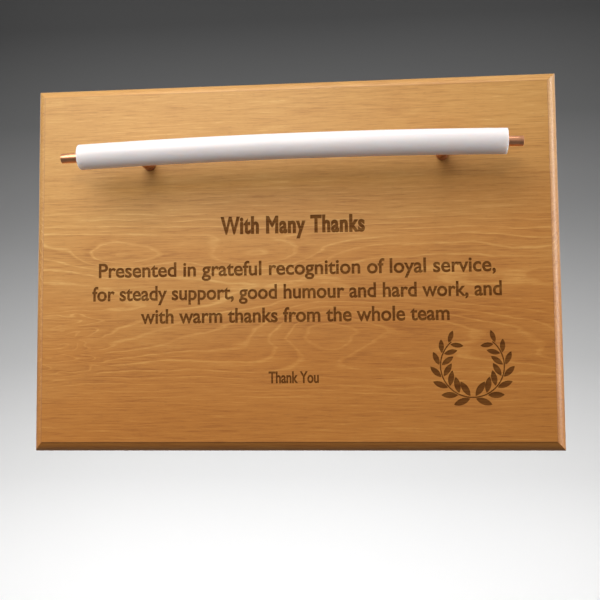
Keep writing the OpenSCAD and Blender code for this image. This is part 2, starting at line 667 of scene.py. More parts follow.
@dataclass(frozen=True)
class HoneyHardwood:
    """Flat-sawn, honey-coloured hardwood under satin lacquer, solid all the way through."""

    half_width: float
    half_height: float
    middle: Point
    edge_w: float
    edge_drop: float
    pith_behind: float = 58.0
    pith_z: float = -22.0
    ring: float = 3.0
    curl_z: float = -50.0
    curl_span: tuple[float, float] = (-150.0, -112.0)
    broad_grain: Point = (190, 20, 16)
    streak_grain: Point = (30, 2.2, 1.4)
    fibre_grain: Point = (13, 0.6, 0.55)
    pore_grain: Point = (5.5, 0.22, 0.22)
    heartwood: Colour = (0.48, 0.184, 0.031)
    sapwood: Colour = (0.55, 0.290, 0.080)
    char: Colour = (0.098, 0.031, 0.006)
    pore_brown: Colour = (0.16, 0.06, 0.018)
    moulding_brown: Colour = (0.34, 0.125, 0.022)
    # painted shade: the colour of the dark line along the foot of the step
    foot_brown: Colour = (0.20, 0.075, 0.02)
    end_grain_brown: Colour = (0.27, 0.11, 0.03)
    darker: Colour = (0.68, 0.58, 0.50)
    lighter: Colour = (1.28, 1.52, 1.95)
    swellings: tuple[Swelling, ...] = (
        Swelling(62.0, -42.0, 104.0, 20.0, 16.0),
        Swelling(20.0, -47.0, 30.0, 24.0, 7.0),
        Swelling(-118.0, 7.0, 36.0, 10.0, 8.0),
        Swelling(-24.0, 5.0, 44.0, 10.5, 9.5),
        Swelling(-75.0, 2.0, 105.0, 17.0, 3.0),
        Swelling(-163.0, -52.0, 26.0, 15.0, -9.0),
    )

    def rings(self, shader: Shader) -> Socket:
        """Distance from the pith, warped as a grown tree is.

        Args:
            shader: the material that is being written.

        Returns:
            The distance in ring widths.
        """
        from_pith_y = shader.minus(shader.axis("Y"), self.pith_behind)
        from_pith_z = shader.minus(shader.axis("Z"), self.pith_z)
        squared = shader.total(
            shader.times(from_pith_y, from_pith_y),
            shader.times(from_pith_z, from_pith_z),
        )
        terms = [
            shader.math("SQRT", squared),
            shader.swing(shader.noise((190, 60, 55), 1.0), 6.0),
            shader.swing(shader.noise((46, 16, 12), 1.5, 0.45), 1.7),
            shader.swing(shader.noise((13, 5, 3.2), 1.0), 0.45),
            self.curl(shader),
        ]
        for bulge in self.swellings:
            dx = shader.math("DIVIDE", shader.minus(shader.axis("X"), bulge.x), bulge.reach_x)
            dz = shader.math("DIVIDE", shader.minus(shader.axis("Z"), bulge.z), bulge.reach_z)
            away = shader.total(shader.times(dx, dx), shader.times(dz, dz))
            hill = shader.math("EXPONENT", shader.times(away, -1.0))
            terms.append(shader.times(hill, bulge.height))
        return shader.math("DIVIDE", shader.total(*terms), self.ring)

    def curl(self, shader: Shader) -> Socket:
        """The curled grain near the left edge, where the rings zigzag.

        Args:
            shader: the material that is being written.

        Returns:
            What it adds to the distance from the pith, in millimetres.
        """
        near_edge = shader.between(shader.axis("X"), *self.curl_span, 1.0, 0.0)
        from_knot = shader.size(shader.minus(shader.axis("Z"), self.curl_z))
        inside = shader.times(near_edge, shader.between(from_knot, 12.0, 32.0, 1.0, 0.0))
        drift = shader.swing(shader.noise((30, 20, 9), 1.0), 5.0)
        wave = shader.math("SINE", shader.total(shader.times(shader.axis("Z"), 0.72), drift))
        return shader.times(wave, 2.6, inside)

    def body_colour(self, shader: Shader, tone: Socket) -> Socket:
        """The wood's colour: darker and redder towards the lower right, paler towards the upper left.

        Args:
            shader: the material that is being written.
            tone: how light the figure is here, from 0 to 1.

        Returns:
            The colour.
        """
        slant = shader.total(
            shader.axis("Z"),
            shader.times(shader.axis("X"), -0.22),
            shader.swing(shader.noise((120, 60, 26), 2.0), 55.0),
        )
        share = shader.between(slant, -95.0, 125.0)
        # a broad blend, darker and redder towards the lower right and paler towards the upper left
        body = shader.mix(share, self.heartwood, self.sapwood)
        dark = shader.mix(1.0, body, self.darker, "MULTIPLY")
        light = shader.mix(1.0, body, self.lighter, "MULTIPLY")
        colour = shader.mix(shader.between(tone, 0.0, 0.5), dark, body)
        return shader.mix(shader.between(tone, 0.45, 1.05), colour, light)

    def material(self, burnt: bool) -> Material:
        """Writes the wood.

        Args:
            burnt: whether it is the floor of the laser engraving.

        Returns:
            The material.
        """
        shader = Shader("burnt_engraving" if burnt else "honey_hardwood", self.middle)
        figure = shader.ramp(
            shader.math("FRACT", self.rings(shader)),
            [(0.0, 0.8), (0.07, 1.0), (0.19, 0.40), (0.5, 0.30), (0.82, 0.14), (0.92, 0.22), (1.0, 0.8)],
        )
        height = shader.size(shader.minus(shader.axis("Z"), self.pith_z))
        flat_sawn = shader.between(height, 42.0, 82.0, 1.0, 0.30)
        patchy = shader.between(shader.noise((70, 40, 22), 2.0), 0.30, 0.66, 0.45, 1.0)
        showing = shader.times(flat_sawn, patchy)
        broad = shader.noise(self.broad_grain, 2.0)
        streaks = shader.noise(self.streak_grain, 4.0, 0.66)
        fibres = shader.noise(self.fibre_grain, 3.0, 0.65)
        pores = shader.between(shader.noise(self.pore_grain, 0.0), 0.69, 0.78)
        tone = shader.total(
            0.46,
            shader.times(shader.minus(figure, 0.36), shader.times(showing, 0.58)),
            shader.swing(broad, 0.26),
            shader.swing(streaks, 0.60),
            shader.swing(fibres, 0.42),
        )
        colour = self.body_colour(shader, tone)
        colour = shader.mix(shader.times(pores, 0.28), colour, self.pore_brown)
        colour = self.worked_edges(shader, colour, fibres)
        grain = shader.total(
            shader.times(fibres, 0.6), shader.times(streaks, 0.25), shader.times(pores, -0.8)
        )
        if burnt:
            uneven = shader.total(shader.times(streaks, 0.6), shader.times(fibres, 0.5))
            scorch = shader.between(uneven, 0.38, 0.74)
            colour = shader.mix(shader.minus(0.96, shader.times(scorch, 0.22)), colour, self.char)
            shader.bump(grain, 0.10, 0.7)
            return shader.dress(Base_Color=colour, Roughness=0.85, Specular_IOR_Level=0.12)
        shader.bump(grain, 0.035, 0.55)
        handling = shader.noise((60, 60, 60), 2.0)
        return shader.dress(
            Base_Color=colour,
            Roughness=shader.total(0.38, shader.times(fibres, 0.14), shader.times(handling, 0.1)),
            Specular_IOR_Level=0.35,
            Coat_Weight=0.12,
            Coat_Roughness=0.3,
        )

    def worked_edges(self, shader: Shader, colour: Socket, fibres: Socket) -> Socket:
        """Darkens the end grain and, in streaks, the routed moulding, and paints shade along the foot of
        the step.

        Args:
            shader: the material that is being written.
            colour: the wood's colour so far.
            fibres: the fine grain.

        Returns:
            The colour with the edges' marks and the painted shade at the step.
        """
        across = shader.size(shader.axis("X"))
        up = shader.size(shader.axis("Z"))
        outwards = shader.math(
            "MAXIMUM",
            shader.minus(across, self.half_width - self.edge_w),
            shader.minus(up, self.half_height - self.edge_w),
        )
        front = shader.between(shader.axis("Y"), self.edge_drop, self.edge_drop + 0.6, 1.0, 0.0)
        routed = shader.times(shader.between(outwards, 0.05, 0.4, 0.0, 0.15), front)
        streaked = shader.times(routed, shader.math("ADD", fibres, 0.35))
        colour = shader.mix(streaked, colour, self.moulding_brown)
        # painted shade: a dark line along the foot of the step, all round the face
        painted_step_shade = shader.minus(1.0, shader.between(shader.size(outwards), 0.1, 0.7))
        colour = shader.mix(shader.times(painted_step_shade, front, 0.34), colour, self.foot_brown)
        end_grain = shader.between(across, self.half_width - 1.2, self.half_width - 0.1, 0.0, 0.5)
        return shader.mix(end_grain, colour, self.end_grain_brown)


@dataclass(frozen=True)
class Polyethylene:
    """Natural white polyethylene: smooth, waxy and faintly translucent."""

    ends: tuple[float, float]
    white: Colour = (0.78, 0.74, 0.745)
    shade: Colour = (0.72, 0.685, 0.69)
    grime: Colour = (0.60, 0.54, 0.47)

    def material(self) -> Material:
        """Writes the plastic.

        Returns:
            The material.
        """
        shader = Shader("white_polyethylene")
        clouds = shader.noise((45, 12, 12), 3.0)
        handling = shader.between(shader.noise((16, 5, 5), 4.0, 0.6), 0.56, 0.76)
        drawn = shader.noise((120, 0.5, 0.5), 2.0)
        scratches = shader.between(shader.noise((7, 0.18, 0.18), 1.0, 0.5, 0.6), 0.7, 0.76)
        colour = shader.mix(shader.times(clouds, 0.4), self.white, self.shade)
        colour = shader.mix(shader.times(handling, 0.12), colour, self.grime)
        left, right = (end / MM for end in self.ends)
        half = (right - left) / 2
        from_middle = shader.size(shader.minus(shader.axis("X"), (left + right) / 2))
        sawn = shader.between(from_middle, half - 0.9, half - 0.4)
        saw_marks = shader.times(shader.noise((4, 0.35, 3.0), 2.0, 0.6, 0.4), sawn)
        relief = shader.total(
            shader.times(drawn, 0.22),
            shader.times(scratches, -0.35),
            shader.times(clouds, 0.3),
            shader.times(saw_marks, 2.0),
        )
        shader.bump(relief, 0.03, 0.5)
        return shader.dress(
            Base_Color=colour,
            Roughness=shader.total(0.34, shader.times(handling, 0.14), shader.times(sawn, 0.2)),
            Subsurface_Weight=0.85,
            Subsurface_Radius=(7.0, 5.4, 4.6),
            Subsurface_Scale=MM,
        )


@dataclass(frozen=True)
class Metal:
    """A drawn or rolled metal with light tarnish and fine lines along its length."""

    name: str
    bright: Colour
    tarnish: Colour
    lines: Point
    roughness: float
    tarnished: float
    patch: float

    def material(self) -> Material:
        """Writes the metal.

        Returns:
            The material.
        """
        shader = Shader(self.name)
        drawn = shader.noise(self.lines, 3.0, 0.6)
        patches = shader.noise((self.patch, self.patch, self.patch), 4.0, 0.6, 0.8)
        stain = shader.times(shader.between(patches, 0.42, 0.68), self.tarnished)
        colour = shader.mix(stain, self.bright, self.tarnish)
        colour = shader.mix(shader.times(drawn, 0.25), colour, self.tarnish)
        gloss = shader.total(
            self.roughness - 0.06, shader.times(drawn, 0.12), shader.times(stain, 0.22)
        )
        shader.bump(drawn, 0.012, 0.5)
        return shader.dress(Base_Color=colour, Metallic=1.0, Roughness=gloss)


CONDUCTOR_COPPER = Metal(
    name="conductor_copper",
    bright=(0.92, 0.44, 0.24),
    tarnish=(0.42, 0.15, 0.06),
    lines=(30, 0.25, 0.25),
    roughness=0.30,
    tarnished=0.35,
    patch=5.0,
)
# painted shade: a darker, browner copy of the conductor's copper, standing in for the cable's shadow over
# the spacers
SHADE_DARKENED_SPACER_COPPER = Metal(
    name="spacer_copper",
    bright=(0.66, 0.31, 0.17),
    tarnish=(0.28, 0.10, 0.04),
    lines=(0.25, 12, 0.25),
    roughness=0.38,
    tarnished=0.75,
    patch=4.0,
)
STRAND_STEEL = Metal(
    name="strand_steel",
    bright=(0.56, 0.56, 0.57),
    tarnish=(0.27, 0.25, 0.23),
    lines=(8, 0.2, 0.2),
    roughness=0.34,
    tarnished=0.5,
    patch=1.2,
)


@dataclass(frozen=True)
class ZincPlate:
    """Bright zinc plate, with its faint crystalline patches."""

    bright: Colour = (0.66, 0.68, 0.70)
    dull: Colour = (0.47, 0.48, 0.47)
    yellowed: Colour = (0.62, 0.56, 0.38)
    spangle_size: Point = (2.6, 2.6, 2.6)

    def material(self) -> Material:
        """Writes the plate.

        Returns:
            The material.
        """
        shader = Shader("zinc_plate")
        cells = shader.nodes.new("ShaderNodeTexVoronoi")
        shader.links.new(shader.along(self.spangle_size), cells.inputs["Vector"])
        cells.inputs["Scale"].default_value = 1.0
        spangle = shader.times(cells.outputs["Distance"], 0.5)
        clouds = shader.noise((9, 9, 9), 3.0)
        scuffs = shader.between(shader.noise((5, 0.4, 0.4), 2.0, 0.6, 1.0), 0.62, 0.74)
        dulled = shader.total(spangle, shader.times(clouds, 0.35))
        colour = shader.mix(dulled, self.bright, self.dull)
        colour = shader.mix(shader.times(clouds, 0.16), colour, self.yellowed)
        gloss = shader.total(0.27, shader.times(clouds, 0.14), shader.times(scuffs, 0.16))
        shader.bump(shader.total(clouds, shader.times(scuffs, -0.5)), 0.015, 0.5)
        return shader.dress(Base_Color=colour, Metallic=1.0, Roughness=gloss)


@dataclass(frozen=True)
class PadRubber:
    """Matt black moulded rubber with a little dust on it."""

    black: Colour = (0.021, 0.021, 0.023)
    dust: Colour = (0.10, 0.095, 0.088)

    def material(self) -> Material:
        """Writes the rubber.

        Returns:
            The material.
        """
        shader = Shader("pad_rubber")
        grain = shader.noise((0.35, 0.35, 0.35), 2.0, 0.6)
        dusty = shader.between(shader.noise((4, 4, 4), 4.0, 0.65), 0.45, 0.75)
        colour = shader.mix(shader.times(dusty, 0.4), self.black, self.dust)
        shader.bump(grain, 0.05, 0.6)
        gloss = shader.total(0.62, shader.times(dusty, 0.2))
        return shader.dress(Base_Color=colour, Roughness=gloss)


@dataclass(frozen=True)
class FibreJelly:
    """Clear filling jelly, with the fibres in it as faint coloured lines."""

    clear: Colour = (0.55, 0.62, 0.66)
    blue: Colour = (0.12, 0.25, 0.45)

    def material(self) -> Material:
        """Writes the jelly.

        Returns:
            The material.
        """
        shader = Shader("fibre_jelly")
        fibres = shader.between(shader.noise((200, 0.16, 0.16), 1.0), 0.5, 0.62)
        colour = shader.mix(fibres, self.clear, self.blue)
        shader.bump(fibres, 0.02, 0.4)
        return shader.dress(Base_Color=colour, Roughness=0.18)


# ---------------------------------------------------------------- board


@dataclass(frozen=True)
class Moulding:
    """The edge's profile: a small square step, then a round fall to the side."""

    width: float = 6.2 * MM
    step: float = 0.6 * MM
    drop: float = 7.0 * MM
    radius: float = 12.0 * MM
    segments: int = 12

    def insets(self) -> list[tuple[float, float]]:
        """The insets that build the round part from the side inwards.

        Returns:
            Pairs of how far in and how far forward each inset goes.
        """
        fall = self.drop - self.step
        chord = math.hypot(self.width, fall)
        sag = math.sqrt(self.radius**2 - (chord / 2) ** 2)
        centre = (self.width / 2 - fall / chord * sag, self.step + fall / 2 + self.width / chord * sag)
        first = math.atan2(self.drop - centre[1], self.width - centre[0])
        last = math.atan2(self.step - centre[1], -centre[0])
        turns = [first + (last - first) * i / self.segments for i in range(self.segments + 1)]
        points = [
            (centre[0] + self.radius * math.cos(a), centre[1] + self.radius * math.sin(a)) for a in turns
        ]
        return [(a[0] - b[0], a[1] - b[1]) for a, b in zip(points, points[1:])]


@dataclass(frozen=True)
class EngravedLine:
    """One line of the inscription, in millimetres from the board's middle."""

    words: str
    cap_height: float
    width: float
    baseline: float
    weight: float
    spacing: float = 1.0
    centre: float = 1.2


@dataclass
class Inscription:
    """The cutter for the laser engraving: generic words and a laurel wreath."""

    lines: tuple[EngravedLine, ...] = (
        EngravedLine("With Many Thanks", 11.2, 96.0, 20.8, 0.58, 1.11),
        EngravedLine("Presented in grateful recognition of loyal service,", 9.6, 266.0, -7.6, 0.29),
        EngravedLine("for steady support, good humour and hard work, and", 9.6, 274.0, -23.5, 0.29),
        EngravedLine("with warm thanks from the whole team", 9.6, 206.0, -39.2, 0.29),
        EngravedLine("Thank You", 7.6, 33.0, -79.8, 0.23),
    )
    depth: float = 0.35 * MM
    proud: float = 1.0 * MM
    cap_share: float = 0.70
    wreath_centre: tuple[float, float] = (118.0 * MM, -69.5 * MM)
    wreath_radius: float = 20.5 * MM
    leaf_length: float = 11.5 * MM
    leaf_width: float = 4.3 * MM
    leaf_pairs: int = 7
    first_leaf: float = math.radians(188)
    leaf_span: float = math.radians(152)
    tip_shrink: float = 0.28
    outer_lean: float = math.radians(26)
    inner_lean: float = math.radians(-52)
    stem_width: float = 0.8 * MM
    stem_top: float = math.radians(40)

    def letter_cutter(self, line: EngravedLine, face_y: float, middle_z: float) -> Workpiece:
        """The solid letters of one line.

        Args:
            line: what it says, and its size and place.
            face_y: where the board's face is.
            middle_z: the height of the board's middle.

        Returns:
            The cutter.
        """
        deselect_everything()
        bpy.ops.object.text_add(location=(0, 0, 0))
        text = bpy.context.object
        text.data.body = line.words
        text.data.size = line.cap_height * MM / self.cap_share
        text.data.space_character = line.spacing
        text.data.extrude = (self.depth + self.proud) / 2
        text.data.resolution_u = 5
        text.data.align_x = "CENTER"
        bpy.context.view_layer.update()
        text.scale = (line.width * MM / text.dimensions.x, 1.0, 1.0)
        text.rotation_euler = (math.pi / 2, 0, 0)
        y = face_y + (self.depth - self.proud) / 2
        text.location = (line.centre * MM, y, middle_z + line.baseline * MM)
        bpy.ops.object.convert(target="MESH")
        letters = Workpiece("letters")
        letters.edit()
        letters.tidy()
        letters.edit_whole()
        bpy.ops.transform.shrink_fatten(value=line.weight * MM, use_even_offset=True)
        letters.pick_edges(lambda a, b: max(a.y, b.y) < y)
        letters.flatten(face_y - self.proud)
        letters.pick_edges(lambda a, b: min(a.y, b.y) > y)
        letters.flatten(face_y + self.depth)
        letters.settle()
        return letters

    def leaf(self, face_y: float) -> Workpiece:
        """One pointed leaf with its root at the origin, pointing along +Z.

        Args:
            face_y: where the board's face is.

        Returns:
            The leaf's cutter.
        """
        front, half = face_y - self.proud, self.leaf_length / 2
        arc = (half**2 + (self.leaf_width / 2) ** 2) / self.leaf_width
        centre = (self.leaf_width / 2 - arc, front, half)
        leaf = Workpiece.disc("leaf", centre, arc, (0, -1, 0), sides=44)
        leaf.edit_whole()
        bpy.ops.mesh.bisect(
            plane_co=(0, front, 0), plane_no=(1, 0, 0), clear_inner=True, threshold=MERGED
        )
        bpy.ops.mesh.select_all(action="SELECT")
        bpy.ops.mesh.duplicate()
        bpy.ops.transform.resize(value=(-1, 1, 1), center_override=(0, front, 0))
        leaf.tidy()
        leaf.edit_whole()
        leaf.push((0, self.depth + self.proud, 0))
        leaf.tidy()
        return leaf

    def wreath_cutter(self, face_y: float, middle_z: float) -> Workpiece:
        """Two laurel branches that curve up from a tie at the bottom.

        Args:
            face_y: where the board's face is.
            middle_z: the height of the board's middle.

        Returns:
            The cutter.
        """
        leaf = self.leaf(face_y)
        centre = Vector((self.wreath_centre[0], 0, middle_z + self.wreath_centre[1]))
        leaves = []
        for side in Side:
            for pair in range(self.leaf_pairs):
                share = (pair + 0.6) / self.leaf_pairs
                around = self.first_leaf - self.leaf_span * share
                size = 1.0 - self.tip_shrink * share
                for lean in (self.inner_lean, self.outer_lean):
                    outwards = self.wreath_radius + math.copysign(self.stem_width, lean)
                    spot = centre + Vector(
                        (side.value * outwards * math.sin(around), 0, outwards * math.cos(around))
                    )
                    heading = side.value * (around - math.pi / 2 + lean)
                    placed = (
                        Matrix.Translation(spot)
                        @ Matrix.Rotation(heading, 4, "Y")
                        @ Matrix.Diagonal((size, 1, size, 1))
                    )
                    leaves.append(leaf.copy("wreath_leaf", placed))
        bpy.data.objects.remove(leaf.obj)
        wreath = self.stem(centre, face_y)
        wreath.absorb(leaves)
        return wreath

    def stem(self, centre: Vector, face_y: float) -> Workpiece:
        """The thin stem of both branches, open at the top.

        Args:
            centre: the wreath's middle.
            face_y: where the board's face is.

        Returns:
            The stem's cutter.
        """
        outer = self.wreath_radius + self.stem_width / 2
        front = (centre.x, face_y - self.proud, centre.z)
        stem = Workpiece.disc("wreath_stem", front, outer, (0, -1, 0), sides=72)
        stem.edit_whole()
        stem.open_middle(self.stem_width)
        open_above = centre.z + self.wreath_radius * math.cos(self.stem_top)
        stem.pick_faces(lambda middle, normal: middle.z > open_above)
        bpy.ops.mesh.delete(type="FACE")
        bpy.ops.mesh.select_all(action="SELECT")
        stem.push((0, self.depth + self.proud, 0))
        stem.tidy()
        return stem

    def cutters(self, face_y: float, middle_z: float) -> list[Workpiece]:
        """Every cutter of the engraving.

        Args:
            face_y: where the board's face is.
            middle_z: the height of the board's middle.

        Returns:
            The cutters.
        """
        letters = [self.letter_cutter(line, face_y, middle_z) for line in self.lines]
        return [*letters, self.wreath_cutter(face_y, middle_z)]


@dataclass
class Board:
    """The moulded and engraved board."""

    moulding: Moulding = field(default_factory=Moulding)
    inscription: Inscription = field(default_factory=Inscription)
    arris: float = 0.15 * MM
    corner: float = 0.6 * MM
    back_bevel: float = 1.0 * MM
    counterbore_radius: float = 6.0 * MM
    counterbore_depth: float = 8.0 * MM
    screw_hole_radius: float = 2.25 * MM
    recess_room: float = 0.2 * MM
    pocket_width: float = 10.6 * MM
    pocket_reach: float = 9.8 * MM
    pocket_depth: float = 8.0 * MM
    fit: float = 0.02 * MM

    def __post_init__(self) -> None:
        """Reads the board's box from the frame."""
        self.low, self.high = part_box("board")
        self.middle = (self.low + self.high) / 2
        self.face_y = self.low.y

    def finish(self) -> HoneyHardwood:
        """The wood's finish.

        Returns:
            The finish, measured from the middle of the board's face.
        """
        return HoneyHardwood(
            half_width=(self.high.x - self.low.x) / 2 / MM,
            half_height=(self.high.z - self.low.z) / 2 / MM,
            middle=(self.middle.x, self.face_y, self.middle.z),
            edge_w=self.moulding.width / MM,
            edge_drop=self.moulding.drop / MM,
        )

    def blank(self) -> Workpiece:
        """The board with its moulding and softened edges, before anything is cut into it.

        Returns:
            The blank.
        """
        foot_y = self.face_y + self.moulding.drop
        board = Workpiece.block("board_wood", (self.low.x, foot_y, self.low.z), self.high)
        board.edit()
        board.pick_faces(lambda centre, normal: normal.y < -0.9)
        for inwards, forwards in self.moulding.insets():
            board.inset(inwards, forwards)
        board.push((0, -self.moulding.step, 0))
        on_face = self.face_y + TINY
        board.pick_edges(lambda a, b: a.y < on_face and b.y < on_face)
        board.bevel(self.arris, 3)
        back = self.high.y - TINY
        board.pick_edges(lambda a, b: a.y > back and b.y > back)
        board.bevel(self.back_bevel, 2)
        board.pick_edges(lambda a, b: abs(a.y - b.y) > 5 * MM and min(a.y, b.y) > foot_y - TINY)
        board.bevel(self.corner, 3)
        board.pick_edges(lambda a, b: abs(a.y - foot_y) < TINY and abs(b.y - foot_y) < TINY)
        board.bevel(self.arris, 2)
        board.tidy()
        return board

    def bore(self, board: Workpiece, at: Vector, radius: float, from_y: float, to_y: float) -> None:
        """Drills a round hole along Y.

        Args:
            board: what is drilled.
            at: a point on the hole's axis.
            radius: the hole's radius.
            from_y: where the hole begins.
            to_y: where it ends.
        """
        start, end = (at.x, from_y, at.z), (at.x, to_y, at.z)
        board.cut(Workpiece.rod("drill", start, end, radius, sides=48))

    def round_ended(self, name: str, low: Sequence[float], high: Sequence[float]) -> Workpiece:
        """An upright block whose ends are half circles.

        Args:
            name: the piece's name.
            low: its lowest corner.
            high: its highest corner.

        Returns:
            The block.
        """
        block = Workpiece.block(name, low, high)
        block.edit()
        block.pick_edges(lambda a, b: abs(a.y - b.y) > 0.5 * abs(high[1] - low[1]))
        block.bevel((high[0] - low[0]) / 2 - 0.01 * MM, segments=14)
        block.tidy()
        return block

    def cut_back(self, board: Workpiece) -> None:
        """Cuts the holes for the cable's screws and the recesses for the hanger plates.

        Args:
            board: the blank.
        """
        past = MM
        for side in Side:
            low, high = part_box(f"{side.word}_spacer")
            middle, seat_y = (low + high) / 2, high.y
            self.bore(board, middle, (high.x - low.x) / 2 + self.fit, self.face_y - past, seat_y)
            self.bore(board, middle, self.screw_hole_radius, self.face_y, self.high.y)
            self.bore(board, middle, self.counterbore_radius, self.high.y - self.counterbore_depth, past)
            low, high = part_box(f"{side.word}_hanger")
            room = Vector((self.recess_room, 0, self.recess_room))
            board.cut(self.round_ended("recess", low - room, high + room + Vector((0, past, 0))))
            middle = (low + high) / 2
            reach = Vector((self.pocket_width / 2, 0, self.pocket_reach))
            bottom = Vector((middle.x, high.y - self.pocket_depth, middle.z)) - reach
            top = Vector((middle.x, low.y + 0.1 * MM, middle.z)) + reach
            board.cut(self.round_ended("pocket", bottom, top))

    def build(self) -> None:
        """Makes the board and hands it over."""
        wood = self.finish()
        plain, burnt = wood.material(burnt=False), wood.material(burnt=True)
        board = self.blank()
        board.paint(plain)
        self.cut_back(board)
        for cutter in self.inscription.cutters(self.face_y, self.middle.z):
            cutter.paint(burnt)
            board.cut(cutter, crossing=True)
        board.smooth(angle=14)
        board.flat_faces()
        board.hand_over("oiled_hardwood", "board")


# ---------------------------------------------------------------- cable


@dataclass
class BowedLine:
    """The cable's centre line: a shallow arc that rises in the middle and slopes a little."""

    radius: float = 4.200
    slope: float = math.radians(0.45)
    shift: float = 2.3 * MM
    below_top: float = 53.8 * MM
    reach: float = 33.0 * MM

    def __post_init__(self) -> None:
        """Finds the arc's centre from the board's box."""
        low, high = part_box("board")
        x = self.shift + self.radius * math.sin(self.slope)
        z = high.z - self.below_top - self.radius * math.cos(self.slope)
        self.centre = Vector((x, low.y - self.reach, z))

    def angle(self, along: float) -> float:
        """The direction from the arc's centre, clockwise from straight up.

        Args:
            along: distance along the line from its middle, to the right.

        Returns:
            The angle in radians.
        """
        return along / self.radius - self.slope

    def point(self, along: float, up: float = 0.0, back: float = 0.0) -> Vector:
        """A point on or beside the line.

        Args:
            along: distance along the line from its middle, to the right.
            up: how far above the line.
            back: how far behind it, towards the board.

        Returns:
            The point.
        """
        turn = self.angle(along)
        outwards = Vector((math.sin(turn), 0, math.cos(turn)))
        return self.centre + (self.radius + up) * outwards + Vector((0, back, 0))

    def facing(self, along: float) -> Vector:
        """The line's direction at a place, to the right.

        Args:
            along: distance along the line from its middle.

        Returns:
            The unit direction.
        """
        turn = self.angle(along)
        return Vector((math.cos(turn), 0, -math.sin(turn)))

    def sweep(self, piece: Workpiece, start: float, end: float, steps: int) -> None:
        """Carries the whole of a flat shape from one place on the line to another.

        Args:
            piece: the flat shape, at the start.
            start: where it begins.
            end: where it ends.
            steps: how many lengths it is made in.
        """
        piece.edit_whole()
        turn = (start - end) / self.radius
        bpy.ops.mesh.spin(steps=steps, angle=turn, center=self.centre, axis=(0, 1, 0))
        piece.tidy()


